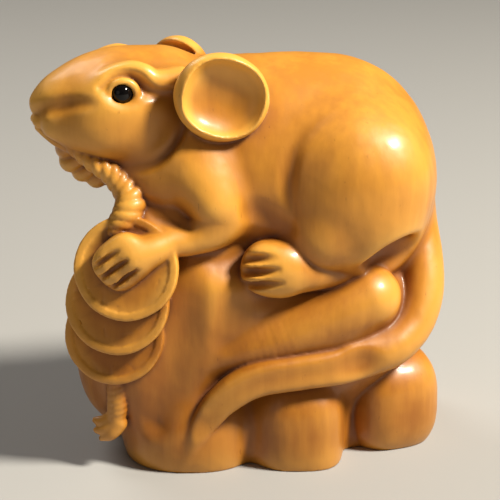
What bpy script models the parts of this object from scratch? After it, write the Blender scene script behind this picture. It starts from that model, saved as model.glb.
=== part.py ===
"""A boxwood netsuke: a rat crouching on a full sack, one paw on a string of three coins.

The carving is one piece of wood. Two eye beads are let into it. Everything is in metres, +Z up, the rat
looks along -X, and the origin is on the flat underside, in the middle of where the carving stands.
"""

import math

import bpy
import bmesh
import numpy as np
import openvdb
from mathutils import Euler, Vector

# Driving dimensions, in metres
FIGURE_HEIGHT = 0.0440
EYE_DIAMETER = 0.0022
EYE_CLEARANCE = 0.00005
COIN_DIAMETER = 0.0106
COIN_THICKNESS = 0.0013
COIN_RIM = 0.00055
COIN_RELIEF = 0.00025
CORD_DIAMETER = 0.0024
TAIL_DIAMETER = 0.0047
CORD_HOLE_DIAMETER = 0.0030
CORD_HOLE_SPACING = 0.0090
CORD_HOLE_DEPTH = 0.0070
SKIN_VOXEL = 0.00030
CARVING_TRIANGLES = 8000

# The figure's pose and proportions are drawn on a grid of this many units to its height, as a carver
# squares up a block. A size of its own, such as a coin's, is brought onto the grid by units().
GRID_HEIGHT = 44.0
UNIT = FIGURE_HEIGHT / GRID_HEIGHT
BLOCK_LOW = (-26.0, -18.0, -3.0)
BLOCK_HIGH = (23.0, 17.0, 48.0)
FAR = 5.0
BODY_MIDDLE = 1.0
HEAD_CENTRE = Vector((-12.0, -3.0, 38.0))
HEAD_TURN = 15.0
EYE_PLACE = (2.0, 5.0, 1.8)
COIN_FACING = (-0.14, -0.96, 0.22)
CORD_HOLE_PLACE = (-6.0, 4.0)


def units(metres):
    """A real size as grid units of the figure."""
    return metres / UNIT


def soft_min(a, b, blend):
    """The nearer of two distances, rounded over where they are within blend of each other."""
    if blend <= 0:
        return np.minimum(a, b)
    near = np.maximum(blend - np.abs(a - b), 0) / blend
    return np.minimum(a, b) - near * near * blend / 4


class Form:
    """A shape as a signed distance, negative inside, and the box that it lies in."""

    def __init__(self, distance, low, high):
        self.distance = distance
        self.low = np.array(low, float)
        self.high = np.array(high, float)

    def without(self, other, blend):
        """This form with another cut out of it, the edge rounded over blend."""

        def distance(x, y, z):
            return -soft_min(-self.distance(x, y, z), other.distance(x, y, z), blend)

        return Form(distance, self.low, self.high)


def egg(centre, radii, turn=(0, 0, 0), fullness=2.0):
    """An ellipsoid, turned by degrees about X, Y and Z. A fullness over 2 squares it up."""
    axes = Euler([math.radians(angle) for angle in turn]).to_matrix().transposed()

    def distance(x, y, z):
        x, y, z = x - centre[0], y - centre[1], z - centre[2]
        local = [np.abs(row[0] * x + row[1] * y + row[2] * z) for row in axes]
        near = sum((part / radius) ** fullness for part, radius in zip(local, radii)) ** (1 / fullness)
        near = np.maximum(near, 1e-3)
        slopes = [(part / radius) ** (fullness - 1) / radius for part, radius in zip(local, radii)]
        steep = np.sqrt(sum(slope**2 for slope in slopes)) * near ** (1 - fullness)
        return (near - 1) / np.maximum(steep, 1e-6)

    reach = max(radii)
    return Form(distance, [c - reach for c in centre], [c + reach for c in centre])


def smooth_path(stations, steps):
    """Points on a smooth curve through the stations, steps to each span. A station may carry a radius."""
    rows = [np.array(row, float) for row in stations]
    rows = [2 * rows[0] - rows[1], *rows, 2 * rows[-1] - rows[-2]]
    path = []
    for a, b, c, d in zip(rows, rows[1:], rows[2:], rows[3:]):
        for step in range(steps):
            t = step / steps
            square = (2 * a - 5 * b + 4 * c - d) * t**2
            cube = (3 * b - a - 3 * c + d) * t**3
            path.append(0.5 * (2 * b + (c - a) * t + square + cube))
    return [*path, rows[-2]]


def limb(stations, steps=5, scale=1.0):
    """A round limb through stations of (x, y, z, radius), the radius times scale."""
    path = smooth_path(stations, steps)

    def distance(x, y, z):
        nearest = None
        for a, b in zip(path, path[1:]):
            along = b[:3] - a[:3]
            px, py, pz = x - a[0], y - a[1], z - a[2]
            t = (px * along[0] + py * along[1] + pz * along[2]) / max(float(along @ along), 1e-9)
            t = np.clip(t, 0, 1)
            off = np.sqrt((px - t * along[0]) ** 2 + (py - t * along[1]) ** 2 + (pz - t * along[2]) ** 2)
            found = off - scale * (a[3] + t * (b[3] - a[3]))
            nearest = found if nearest is None else np.minimum(nearest, found)
        return nearest

    points = np.array(path)
    reach = scale * points[:, 3:4]
    return Form(distance, (points[:, :3] - reach).min(0), (points[:, :3] + reach).max(0))


def disc(centre, facing, radius, thickness, rounding=0.0):
    """A flat round disc whose middle is at centre and whose faces look along facing."""
    normal = Vector(facing).normalized()
    half = thickness / 2 - rounding
    flat_radius = radius - rounding

    def distance(x, y, z):
        x, y, z = x - centre[0], y - centre[1], z - centre[2]
        height = normal.x * x + normal.y * y + normal.z * z
        out = np.sqrt(np.maximum(x * x + y * y + z * z - height * height, 0)) - flat_radius
        up = np.abs(height) - half
        outside = np.sqrt(np.maximum(out, 0) ** 2 + np.maximum(up, 0) ** 2)
        return outside + np.minimum(np.maximum(out, up), 0) - rounding

    return Form(distance, [c - radius for c in centre], [c + radius for c in centre])


class Block:
    """The block of wood: a grid of distances to the surface of what has been carved so far."""

    def __init__(self, voxel):
        self.voxel = voxel
        self.axes = [np.arange(a, b, voxel, dtype=np.float32) for a, b in zip(BLOCK_LOW, BLOCK_HIGH)]
        self.field = np.full([len(axis) for axis in self.axes], FAR, np.float32)

    def window(self, form, margin):
        """The part of the grid that a form can change, and the coordinates there."""
        slices = tuple(
            slice(*np.searchsorted(axis, (low - margin, high + margin)))
            for axis, low, high in zip(self.axes, form.low, form.high)
        )
        place = [axis[within] for axis, within in zip(self.axes, slices)]
        return slices, np.meshgrid(*place, indexing="ij", sparse=True)

    def add(self, form, blend=0.3):
        slices, place = self.window(form, blend + 1.5)
        self.field[slices] = soft_min(self.field[slices], form.distance(*place), blend)

    def cut(self, form, blend=0.2):
        slices, place = self.window(form, blend + 0.5)
        self.field[slices] = -soft_min(-self.field[slices], form.distance(*place), blend)

    def join(self, other, blend):
        self.field = soft_min(self.field, other.field, blend)

    def skin(self, name):
        """The carved surface as a mesh, in metres."""
        grid = openvdb.FloatGrid(FAR)
        grid.copyFromArray(self.field)
        points, quads = grid.convertToQuads(isovalue=0.0)
        points = (points * self.voxel + np.array(BLOCK_LOW)) * UNIT
        mesh = bpy.data.meshes.new(name)
        mesh.from_pydata(points.tolist(), [], quads.tolist())
        return without_specks(mesh)


def without_specks(mesh):
    """The mesh with only the piece that its topmost point is on: no specks of air inside the wood."""
    shape = bmesh.new()
    shape.from_mesh(mesh)
    outer = set()
    reached = [max(shape.verts, key=lambda vert: vert.co.z)]
    while reached:
        vert = reached.pop()
        if vert not in outer:
            outer.add(vert)
            reached.extend(edge.other_vert(vert) for edge in vert.link_edges)
    bmesh.ops.delete(shape, geom=[vert for vert in shape.verts if vert not in outer])
    for face in shape.faces:
        face.smooth = True
    shape.to_mesh(mesh)
    shape.free()
    return mesh


def carve_sack(block):
    """The full sack: a wide body on a foot that is gathered into upright lobes all round."""
    block.add(egg((-6.0, 0.3, 14.5), (11.2, 11.0, 11.5)))
    block.add(egg((6.5, 0.8, 14.0), (12.0, 10.6, 10.5)), 4.0)
    block.add(egg((-3.5, -2.0, 19.0), (8.0, 8.6, 8.0)), 3.0)
    block.add(limb([(-11.2, -4.8, 24.4, 3.2), (-12.4, -5.0, 19.0, 4.4), (-12.8, -4.6, 13.0, 4.6)]), 2.5)
    block.add(egg((2.0, 1.5, 3.0), (13.0, 7.0, 8.0), fullness=3.0), 2.0)
    # One row for each lobe of the gathered foot: its middle, its radii, and how softly it grows in
    for middle, radii, blend in (
        ((-9.0, -1.5, 11.0), (9.5, 9.2, 9.6), 1.5),
        ((-6.2, -2.6, 3.0), (7.6, 8.9, 7.0), 1.6),
        ((4.6, -4.7, 3.4), (5.3, 6.2, 7.2), 1.6),
        ((13.6, 7.6, 4.0), (5.6, 5.2, 7.0), 0.6),
        ((4.0, 8.8, 4.0), (5.6, 4.9, 7.0), 0.6),
        ((-6.0, 8.4, 4.0), (5.6, 4.9, 7.0), 0.6),
        ((-12.2, 3.4, 4.0), (4.4, 5.6, 6.5), 0.8),
    ):
        block.add(egg(middle, radii, fullness=2.4), blend)
    # The two lobes at the right of the front are squarer than the rest
    block.add(egg((5.5, -4.6, 3.0), (4.3, 6.1, 6.4), fullness=3.2), 0.8)
    block.add(egg((14.3, 0.3, 4.4), (5.3, 6.4, 6.2), (0, 0, 24), 2.7), 0.3)
    # The rolled fold above the tail, its round end to the right
    fold = (
        (-4.6, -9.0, 11.6, 1.2),
        (-0.4, -8.6, 13.2, 2.4),
        (4.9, -7.8, 14.9, 3.2),
        (9.3, -7.1, 16.4, 3.4),
        (12.2, -6.5, 17.6, 3.4),
    )
    block.add(limb(fold), 0.9)
    # The swelling that fills the gap between the near arm and the coins
    block.add(limb([(-11.6, -7.4, 25.2, 2.6), (-8.0, -6.8, 26.4, 3.2), (-4.0, -6.0, 25.0, 3.0)]), 1.5)


def coin(centre):
    """A round cast coin: a raised rim round a sunk field."""
    radius, thickness = units(COIN_DIAMETER) / 2, units(COIN_THICKNESS)
    front = Vector(centre) + Vector(COIN_FACING).normalized() * (thickness / 2)
    field = disc(front, COIN_FACING, radius - units(COIN_RIM), 2 * units(COIN_RELIEF), 0.02)
    return disc(centre, COIN_FACING, radius, thickness, 0.2).without(field, 0.08)


def carve_coins(block):
    """Three coins on a swelling of the sack, each overlapping the next one down."""
    block.add(egg((-12.8, -7.0, 18.4), (5.2, 3.1, 7.4), (0, 6, 0)), 1.5)
    for centre in ((-13.6, -9.5, 15.1), (-13.4, -10.2, 18.8), (-12.4, -10.9, 22.4)):
        block.add(coin(centre), 0.1)


def mirrored(rows, side):
    """Stations of the near side, or the same ones across the body for the far side."""
    return [(row[0], row[1] if side < 0 else 2 * BODY_MIDDLE - row[1], *row[2:]) for row in rows]


def carve_body(block):
    """Trunk, neck, chest and haunches. A crease runs down each haunch, and a deeper cut under it."""
    block.add(egg((8.8, BODY_MIDDLE, 28.2), (10.7, 10.2, 13.2)))
    block.add(egg((-1.0, 0.8, 29.4), (11.0, 9.9, 11.6)), 3.0)
    block.add(egg((3.6, 0.8, 30.6), (11.0, 9.5, 10.9)), 2.5)
    block.add(limb([(-3.0, 0.0, 33.2, 8.0), (-8.0, -1.2, 35.2, 6.8), (-11.0, -2.2, 36.6, 5.4)]), 2.0)
    block.add(egg((-7.6, -2.4, 30.4), (5.4, 6.2, 7.4), (0, -20, 0)), 2.0)
    block.add(limb([(-9.0, -3.8, 33.0, 4.8), (-12.2, -5.2, 31.6, 3.0), (-14.6, -5.2, 32.8, 2.2)]), 1.6)
    block.add(limb([(-7.0, -4.6, 30.6, 4.8), (-9.4, -5.8, 29.6, 3.4)]), 1.6)
    block.add(egg((-7.6, -6.0, 30.8), (3.6, 3.8, 4.3), (0, 35, 0)), 1.4)
    crease = (
        (8.4, -7.6, 38.6, 0.2),
        (6.2, -8.6, 37.0, 0.4),
        (4.6, -9.2, 35.0, 0.5),
        (3.9, -9.7, 33.0, 0.6),
        (3.6, -10.2, 30.6, 0.6),
        (4.0, -10.8, 28.0, 0.4),
    )
    undercut = (
        (3.6, -10.6, 25.6, 0.3),
        (6.0, -10.9, 22.2, 0.5),
        (8.0, -10.8, 20.7, 0.6),
        (10.4, -10.0, 20.2, 0.7),
        (13.2, -8.2, 21.8, 0.7),
        (15.4, -5.6, 23.6, 0.3),
    )
    for side in (-1, 1):
        haunch = egg((10.8, BODY_MIDDLE + side * 5.7, 29.1), (7.7, 7.2, 8.8), (0, 14, 0), 2.25)
        block.add(haunch, 2.6)
        block.cut(limb(mirrored(crease, side)), 1.1)
        block.cut(limb(mirrored(undercut, side)), 1.0)


def carve_toes(block, grooves, side=-1):
    """Narrow grooves that part the toes of a paw."""
    for groove in grooves:
        block.cut(limb(mirrored(groove, side)), 0.2)


def carve_hind_feet(block):
    """The feet, toes to the left, either side of the haunches."""
    foot = (
        (10.4, -7.4, 20.8, 0.8),
        (8.0, -8.2, 21.0, 1.5),
        (5.6, -8.9, 21.4, 2.1),
        (3.2, -9.2, 21.9, 2.7),
        (1.8, -9.2, 22.1, 2.5),
    )
    grooves = (
        ((2.8, -11.9, 24.1, 0.35), (1.4, -11.7, 23.7, 0.45), (-0.9, -10.4, 23.2, 0.5)),
        ((2.8, -12.0, 22.6, 0.35), (1.4, -11.8, 22.3, 0.45), (-1.0, -10.4, 21.9, 0.5)),
        ((3.1, -11.9, 21.1, 0.35), (1.6, -11.7, 20.9, 0.45), (-0.6, -10.4, 20.5, 0.5)),
    )
    for side in (-1, 1):
        block.add(limb(mirrored(foot, side)), 0.3)
        toes = egg((2.4, BODY_MIDDLE + side * 11.2, 22.0), (2.8, 1.8, 2.85), (0, 10, 0), 2.4)
        block.add(toes, 1.2)
        carve_toes(block, grooves, side)


def carve_arms(block):
    """The near arm drops to a narrow wrist and a broad paw, and the far fist holds the cord."""
    arm = (
        (-5.6, -5.0, 34.6, 4.2),
        (-4.4, -6.4, 31.2, 4.2),
        (-3.2, -7.6, 28.6, 3.5),
        (-2.9, -8.2, 27.0, 2.8),
        (-4.2, -9.1, 25.7, 2.1),
        (-6.2, -10.0, 24.7, 1.4),
        (-8.0, -10.8, 24.3, 1.2),
        (-10.0, -11.3, 24.1, 1.7),
        (-11.6, -11.4, 23.8, 2.1),
    )
    armpit = (
        (-0.6, -10.9, 31.2, 0.3),
        (0.4, -10.8, 29.4, 1.0),
        (1.4, -10.5, 27.4, 1.7),
        (3.4, -10.8, 27.0, 1.1),
    )
    block.add(limb(arm), 0.9)
    block.add(limb([(-5.0, -8.2, 33.8, 1.4), (-3.4, -9.0, 31.2, 1.8), (-2.5, -9.4, 28.8, 1.7)]), 1.8)
    block.cut(limb(armpit), 0.8)
    block.add(egg((-12.7, -11.7, 23.4), (2.9, 1.4, 2.6), (0, -40, 0), 2.8), 0.5)
    grooves = (
        ((-13.2, -13.1, 24.9, 0.35), (-13.8, -13.0, 24.4, 0.4), (-16.2, -12.4, 22.5, 0.4)),
        ((-12.5, -13.2, 23.8, 0.35), (-13.1, -13.1, 23.3, 0.4), (-15.6, -12.5, 21.3, 0.4)),
        ((-11.5, -13.1, 22.8, 0.35), (-12.1, -13.0, 22.3, 0.4), (-14.6, -12.4, 20.3, 0.4)),
    )
    carve_toes(block, grooves)
    block.add(limb([(-8.0, 3.0, 29.5, 3.2), (-12.5, 0.6, 30.2, 2.4), (-15.2, -2.2, 31.4, 2.0)]), 0.9)
    for finger in (
        (
            (-15.8, -3.0, 33.2, 0.9),
            (-18.6, -4.2, 33.2, 0.9),
            (-18.7, -5.4, 33.2, 0.85),
            (-17.8, -6.6, 33.8, 0.7),
        ),
        (
            (-15.4, -3.0, 32.2, 0.9),
            (-18.3, -4.2, 32.1, 0.9),
            (-18.2, -5.4, 31.8, 0.9),
            (-16.9, -6.6, 32.7, 0.7),
        ),
        (
            (-14.8, -3.0, 31.2, 0.9),
            (-17.1, -4.2, 31.0, 0.9),
            (-17.0, -5.4, 30.8, 0.9),
            (-15.7, -6.6, 31.7, 0.7),
        ),
        (
            (-14.0, -3.0, 30.4, 0.9),
            (-15.8, -4.2, 30.4, 0.9),
            (-15.6, -5.6, 30.2, 0.9),
            (-14.5, -6.8, 30.9, 0.7),
        ),
    ):
        block.add(limb(finger), 0.1)


def on_head(forward, side, up):
    """A point by its place on the head: forward to the nose, to the side (near side positive), and up."""
    turn = math.radians(HEAD_TURN)
    ahead = Vector((-math.cos(turn), -math.sin(turn), 0))
    near = Vector((math.sin(turn), -math.cos(turn), 0))
    return HEAD_CENTRE + forward * ahead + side * near + Vector((0, 0, up))


def head_limb(*rows):
    """A limb through stations of (forward, side, up, radius) on the head."""
    return limb([(*on_head(*row[:3]), row[3]) for row in rows])


def carve_head(block):
    """Skull, muzzle, cheeks and brow, turned a little towards the viewer."""
    skull = head_limb(
        (-2.5, 0, -0.1, 5.4),
        (0.8, 0, -0.2, 5.6),
        (3.0, 0, -0.2, 5.2),
        (5.0, 0, -0.2, 4.4),
        (7.0, 0, -0.1, 3.2),
        (8.8, 0, -0.3, 2.0),
    )
    block.add(skull, 1.5)
    block.add(head_limb((2.0, 0, -2.0, 3.6), (5.6, 0, -2.2, 2.3), (7.6, 0, -2.4, 1.4)), 0.6)
    lower_lip = (
        (-21.2, -5.5, 35.8, 0.6),
        (-20.3, -5.6, 35.3, 0.7),
        (-19.2, -5.9, 34.9, 0.8),
        (-17.8, -6.2, 34.4, 1.0),
    )
    block.add(limb(lower_lip), 0.2)
    for side in (-1, 1):
        block.add(egg(on_head(8.9, side * 0.7, -1.7), (1.0, 1.0, 0.9), (0, 0, HEAD_TURN)), 0.2)
        cheek = egg(on_head(1.8, side * 2.6, -0.9), (5.0, 3.7, 4.3), (0, 0, HEAD_TURN), 2.5)
        block.add(cheek, 1.5)
        jowl = head_limb(
            (-3.3, side * 6.1, 1.4, 0.2),
            (-3.6, side * 6.5, 0.0, 0.5),
            (-3.4, side * 6.6, -1.8, 0.6),
            (-2.3, side * 6.6, -3.6, 0.6),
            (-0.6, side * 6.2, -5.1, 0.6),
            (1.6, side * 5.2, -5.8, 0.6),
            (3.8, side * 4.0, -5.7, 0.4),
        )
        block.cut(jowl, 0.5)
        brow = head_limb(
            (4.6, side * 3.8, 1.6, 0.3),
            (3.3, side * 4.1, 3.0, 0.7),
            (2.2, side * 4.2, 3.5, 0.9),
            (0.9, side * 4.3, 3.6, 1.0),
            (0.0, side * 4.6, 3.2, 1.0),
            (-0.9, side * 4.8, 2.8, 1.0),
            (-2.2, side * 4.9, 2.7, 1.1),
            (-4.0, side * 4.8, 2.8, 1.3),
        )
        block.add(brow, 1.2)
        hollow = head_limb(
            (3.9, side * 5.6, 1.8, 0.6),
            (2.0, side * 6.1, 2.2, 1.3),
            (0.8, side * 6.1, 2.4, 0.8),
        )
        block.cut(hollow, 1.0)
        lid_crease = head_limb(
            (0.9, side * 5.5, 2.6, 0.3),
            (0.0, side * 5.8, 1.9, 0.4),
            (-1.2, side * 6.0, 1.6, 0.5),
            (-3.2, side * 6.2, 1.6, 0.5),
        )
        block.cut(lid_crease, 0.5)
        behind_eye = on_head(EYE_PLACE[0], side * (EYE_PLACE[1] - 0.6), EYE_PLACE[2])
        block.add(egg(behind_eye, (1.6, 1.2, 1.5), (0, 0, HEAD_TURN)), 0.3)


def ear(middle, radii, turn, opening, inner):
    """A round cup: an egg with a wide hollow in its front."""
    return egg(middle, radii, turn).without(egg(opening, inner, turn, 2.5), 0.2)


def carve_ears(block):
    """Two round cups, open forwards."""
    near = ear((-2.8, -8.6, 39.5), (4.8, 2.4, 4.45), (0, 0, -8), (-2.8, -11.3, 39.7), (4.35, 3.3, 4.05))
    far = ear((-7.4, 4.0, 38.9), (4.2, 2.4, 4.1), (0, 0, -42), (-8.6, 2.3, 39.1), (3.8, 2.6, 3.7))
    block.add(near, 0.4)
    block.add(far, 0.4)


def carve_tail(block):
    """From the rump down and round to the front, tapering to the foot of the sack."""
    stations = (
        (14.0, 1.4, 28.8, 1.79),
        (16.1, 1.5, 25.6, 1.40),
        (17.6, 1.2, 22.0, 1.11),
        (18.3, 0.4, 19.0, 0.98),
        (18.5, -0.6, 16.4, 0.94),
        (17.9, -2.4, 14.1, 0.94),
        (15.7, -5.2, 12.5, 0.94),
        (12.4, -7.8, 11.9, 0.94),
        (9.3, -9.1, 11.4, 0.89),
        (5.1, -10.0, 11.0, 0.85),
        (0.6, -10.6, 10.3, 0.81),
        (-2.6, -10.8, 8.3, 0.72),
        (-4.6, -10.8, 5.8, 0.60),
        (-6.0, -10.7, 3.1, 0.45),
        (-6.9, -10.5, 0.8, 0.30),
    )
    block.add(limb(stations, scale=units(TAIL_DIAMETER) / 2), 0.8)


def carve_cord(block):
    """The cord from the mouth down to the coins, and its knotted end below them."""
    scale = units(CORD_DIAMETER) / 2
    upper = (
        (-18.4, -6.2, 34.4, 0.72),
        (-17.0, -6.7, 33.2, 0.85),
        (-15.6, -7.1, 32.1, 0.94),
        (-14.1, -7.6, 31.0, 1.03),
        (-12.8, -8.2, 29.8, 1.12),
        (-12.2, -9.1, 28.6, 1.16),
        (-12.4, -10.1, 27.2, 1.12),
    )
    lower = (
        (-13.8, -9.0, 10.0, 0.80),
        (-14.0, -9.1, 8.0, 0.80),
        (-14.2, -9.0, 6.2, 0.80),
        (-14.4, -8.9, 5.2, 0.85),
        (-15.4, -9.1, 4.6, 0.60),
    )
    block.add(limb(upper, scale=scale), 0.2)
    block.add(limb(lower, scale=scale), 0.2)


def carve(block):
    """The whole figure: the sack with its coins, the rat on it, and the cord over both."""
    carve_sack(block)
    carve_coins(block)
    rat = Block(block.voxel)
    carve_body(rat)
    carve_hind_feet(rat)
    carve_arms(rat)
    carve_head(rat)
    carve_ears(rat)
    carve_tail(rat)
    block.join(rat, 0.25)
    carve_cord(block)


def material(name, colour, roughness):
    made = bpy.data.materials.new(name)
    made.use_nodes = True
    shader = made.node_tree.nodes["Principled BSDF"]
    shader.inputs["Base Color"].default_value = (*colour, 1)
    shader.inputs["Roughness"].default_value = roughness
    return made


def ball(name, centre, diameter):
    """A sphere, its place in grid units and its diameter in metres."""
    mesh = bpy.data.meshes.new(name)
    shape = bmesh.new()
    bmesh.ops.create_uvsphere(shape, u_segments=16, v_segments=10, radius=diameter / 2)
    bmesh.ops.translate(shape, verts=shape.verts, vec=Vector(centre) * UNIT)
    shape.to_mesh(mesh)
    shape.free()
    return bpy.data.objects.new(name, mesh)


def ground_block(name):
    """All that lies under the flat underside."""
    mesh = bpy.data.meshes.new(name)
    shape = bmesh.new()
    bmesh.ops.create_cube(shape, size=2 * FIGURE_HEIGHT)
    bmesh.ops.translate(shape, verts=shape.verts, vec=(0, 0, -FIGURE_HEIGHT))
    shape.to_mesh(mesh)
    shape.free()
    return bpy.data.objects.new(name, mesh)


def cord_tunnel(name):
    """The bent tunnel for the cord: two upright holes in the underside that meet in an arch."""
    bend = CORD_HOLE_SPACING / 2
    spring = CORD_HOLE_DEPTH - CORD_HOLE_DIAMETER / 2 - bend
    path = [(-bend, -0.002)]
    for step in range(13):
        angle = math.pi * step / 12
        path.append((-bend * math.cos(angle), spring + bend * math.sin(angle)))
    path.append((bend, -0.002))
    line = bpy.data.curves.new(name, "CURVE")
    line.dimensions = "3D"
    line.bevel_depth = CORD_HOLE_DIAMETER / 2
    line.bevel_resolution = 6
    line.use_fill_caps = True
    spline = line.splines.new("POLY")
    spline.points.add(len(path) - 1)
    for point, (across, height) in zip(spline.points, path):
        point.co = (CORD_HOLE_PLACE[0] * UNIT + across, CORD_HOLE_PLACE[1] * UNIT, height, 1)
    tube = bpy.data.objects.new(name + "_line", line)
    bpy.context.scene.collection.objects.link(tube)
    evaluated = tube.evaluated_get(bpy.context.evaluated_depsgraph_get())
    mesh = bpy.data.meshes.new_from_object(evaluated)
    bpy.data.objects.remove(tube)
    shape = bmesh.new()
    shape.from_mesh(mesh)
    bmesh.ops.remove_doubles(shape, verts=shape.verts, dist=0.00001)
    bmesh.ops.recalc_face_normals(shape, faces=shape.faces)
    shape.to_mesh(mesh)
    shape.free()
    return bpy.data.objects.new(name, mesh)


def main():
    for obj in list(bpy.data.objects):
        bpy.data.objects.remove(obj)
    parts = bpy.data.collections.new("rat_netsuke")
    tools = bpy.data.collections.new("cutters")
    bpy.context.scene.collection.children.link(parts)
    bpy.context.scene.collection.children.link(tools)

    block = Block(SKIN_VOXEL / UNIT)
    carve(block)
    carving = bpy.data.objects.new("carving", block.skin("carving"))
    carving.data.materials.append(material("boxwood", (0.62, 0.30, 0.07), 0.35))
    parts.objects.link(carving)
    thinned = carving.modifiers.new("thinned", "DECIMATE")
    thinned.ratio = CARVING_TRIANGLES / (2 * len(carving.data.polygons))

    cutters = [ground_block("ground"), cord_tunnel("cord_tunnel")]
    bead = material("black_bead", (0.01, 0.01, 0.01), 0.08)
    for name, side in (("left_eye", 1), ("right_eye", -1)):
        place = on_head(EYE_PLACE[0], side * EYE_PLACE[1], EYE_PLACE[2])
        eye = ball(name, place, EYE_DIAMETER)
        eye.data.materials.append(bead)
        parts.objects.link(eye)
        cutters.append(ball(name + "_socket", place, EYE_DIAMETER + 2 * EYE_CLEARANCE))
    for tool in cutters:
        tool.hide_render = True
        tool.display_type = "WIRE"
        tools.objects.link(tool)
        cut = carving.modifiers.new(tool.name, "BOOLEAN")
        cut.operation = "DIFFERENCE"
        cut.solver = "MANIFOLD"
        cut.object = tool
    evaluated = carving.evaluated_get(bpy.context.evaluated_depsgraph_get())
    finished = bpy.data.meshes.new_from_object(evaluated)
    carving.modifiers.clear()
    carving.data = without_specks(finished)


main()
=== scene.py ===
import math

import bmesh
import bpy
import numpy as np
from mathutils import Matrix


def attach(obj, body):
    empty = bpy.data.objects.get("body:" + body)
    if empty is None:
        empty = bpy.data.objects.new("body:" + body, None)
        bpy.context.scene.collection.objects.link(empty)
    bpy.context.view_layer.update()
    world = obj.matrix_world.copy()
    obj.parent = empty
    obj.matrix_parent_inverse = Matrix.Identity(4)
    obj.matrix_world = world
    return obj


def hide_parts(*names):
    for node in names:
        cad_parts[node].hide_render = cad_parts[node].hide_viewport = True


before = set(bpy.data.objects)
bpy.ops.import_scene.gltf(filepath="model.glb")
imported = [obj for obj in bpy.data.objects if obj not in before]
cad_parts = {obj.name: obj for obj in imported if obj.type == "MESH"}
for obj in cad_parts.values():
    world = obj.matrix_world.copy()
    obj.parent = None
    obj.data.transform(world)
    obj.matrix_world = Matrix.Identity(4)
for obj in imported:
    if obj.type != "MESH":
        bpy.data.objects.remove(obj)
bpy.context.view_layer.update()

import openvdb
from mathutils import Euler, Vector, noise

# The room: a plain pale table, a soft lamp high on the right, a weaker one on the left, and a camera at
# the photograph's viewing angle, a little above the carving.
VIEW_FROM = Vector((0.0, -0.1902, 0.0826))
VIEW_TO = Vector((0.0, 0.0, 0.0208))
LENS_LENGTH = 135.8
FLOOR_COLOUR = (0.36, 0.35, 0.335)
FLOOR_DROP = 0.00002

scene = bpy.context.scene
lens = bpy.data.cameras.new("camera")
lens.sensor_width = 36
lens.lens = LENS_LENGTH
lens.clip_start = 0.01
camera = bpy.data.objects.new("camera", lens)
camera.location = VIEW_FROM
camera.rotation_euler = (VIEW_TO - VIEW_FROM).to_track_quat("-Z", "Y").to_euler()
scene.collection.objects.link(camera)
scene.camera = camera


def lamp(name, place, size, power, tint):
    light = bpy.data.lights.new(name, "AREA")
    light.shape = "DISK"
    light.size = size
    light.energy = power
    light.color = tint
    lamp_object = bpy.data.objects.new(name, light)
    lamp_object.location = place
    lamp_object.rotation_euler = (VIEW_TO - Vector(place)).to_track_quat("-Z", "Y").to_euler()
    scene.collection.objects.link(lamp_object)


lamp("key_lamp", (0.283, -0.112, 0.338), 0.09, 4.5, (1.0, 0.95, 0.84))
lamp("fill_lamp", (-0.30, -0.34, 0.16), 0.30, 0.11, (1.0, 0.96, 0.90))
lamp("rim_lamp", (-0.20, 0.18, 0.36), 0.20, 0.7, (1.0, 0.97, 0.92))

room = bpy.data.worlds.new("room")
room.use_nodes = True
room_light = room.node_tree.nodes["Background"]
room_light.inputs["Color"].default_value = (0.97, 0.93, 0.87, 1)
room_light.inputs["Strength"].default_value = 0.065
scene.world = room
scene.view_settings.view_transform = "Standard"

floor_mesh = bpy.data.meshes.new("table_top")
floor_shape = bmesh.new()
bmesh.ops.create_grid(floor_shape, x_segments=1, y_segments=1, size=1.5)
floor_shape.to_mesh(floor_mesh)
floor_shape.free()
floor = bpy.data.objects.new("table_top", floor_mesh)
floor.location = (0, 0, -FLOOR_DROP)
scene.collection.objects.link(floor)
floor_finish = bpy.data.materials.new("pale_table")
floor_finish.use_nodes = True
floor_shader = floor_finish.node_tree.nodes["Principled BSDF"]
floor_shader.inputs["Base Color"].default_value = (*FLOOR_COLOUR, 1)
floor_shader.inputs["Roughness"].default_value = 0.7
floor_mesh.materials.append(floor_finish)


# The sack: the full bag that the rat crouches on. It is the foot of one block of boxwood that the whole
# netsuke is carved from, and its gathered base is cut into soft upright folds. The block is held as a grid
# of distances to the carved surface, in millimetres, and each form below is worked into it in turn.
BLOCK_LOW = (-25.0, -16.0, -2.0)
BLOCK_HIGH = (23.0, 17.0, 47.0)
CHISEL = 0.17
# A limb is measured only out to LIMB_REACH from its surface, and what lies further off is held as FAR.
LIMB_REACH = 3.0
FAR = 6.0
ADD_MARGIN = 1.0
CUT_MARGIN = 0.3


def soft_min(a, b, blend):
    """The nearer of two distances, rounded over where they are within blend of each other."""
    if blend <= 0:
        return np.minimum(a, b)
    near = np.maximum(blend - np.abs(a - b), 0) / blend
    return np.minimum(a, b) - near * near * blend / 4


class Form:
    """A shape as a signed distance, negative inside, and the box that it lies in."""

    def __init__(self, distance, low, high):
        self.distance = distance
        self.low = np.array(low, float)
        self.high = np.array(high, float)

    def without(self, other, blend):
        def distance(x, y, z):
            return -soft_min(-self.distance(x, y, z), other.distance(x, y, z), blend)

        return Form(distance, self.low, self.high)


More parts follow.
